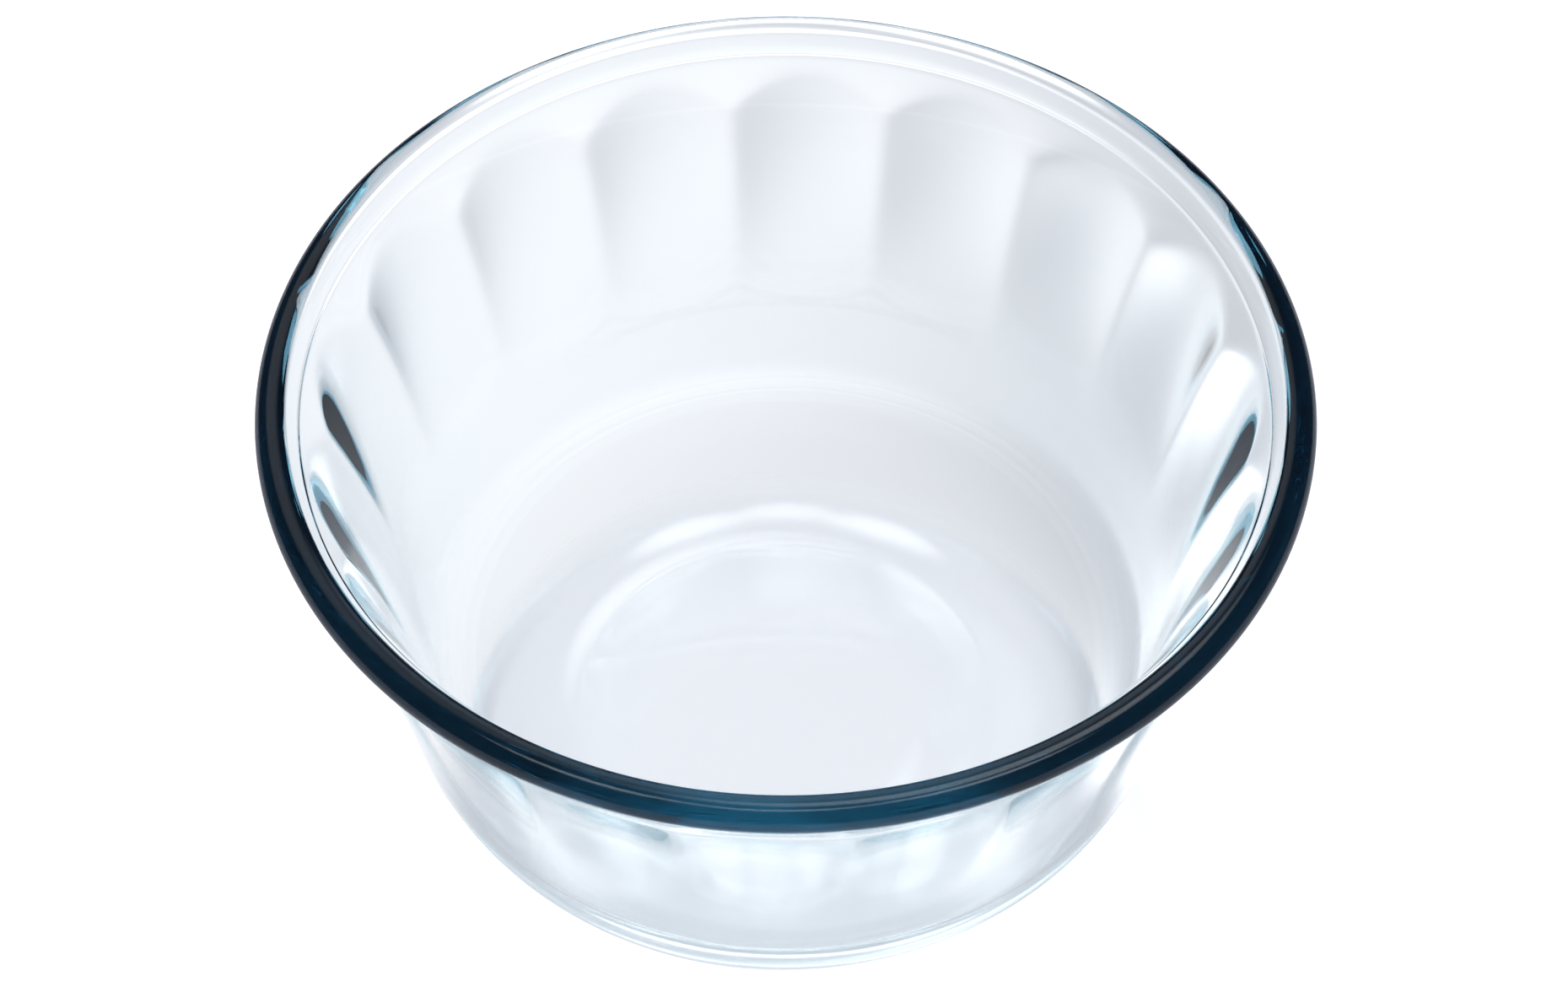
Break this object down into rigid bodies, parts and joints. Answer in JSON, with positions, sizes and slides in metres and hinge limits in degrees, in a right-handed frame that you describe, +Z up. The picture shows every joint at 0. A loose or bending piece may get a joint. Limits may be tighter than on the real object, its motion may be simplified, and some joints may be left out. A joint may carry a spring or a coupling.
{
  "type": "dessert bowl",
  "caption": "Clear pressed-glass dessert bowl with a rounded rim, a plain flared collar, arched flutes round the outside of its leaning wall and a smooth inside.",
  "frame": {"origin": "centre of the ring that the bowl stands on, at the bottom of its bounding box", "axes": "+Z up along the bowl's axis, +X through the crown of a flute"},
  "size_m": [0.11, 0.11, 0.057],
  "materials": {
    "glass": "clear heat-resistant glass, pressed and fire-polished, glossy all over, with a faint blue-green cast in thick sections"
  },
  "bodies": {
    "root": {"bowl": "glass"}
  },
  "joints": []
}
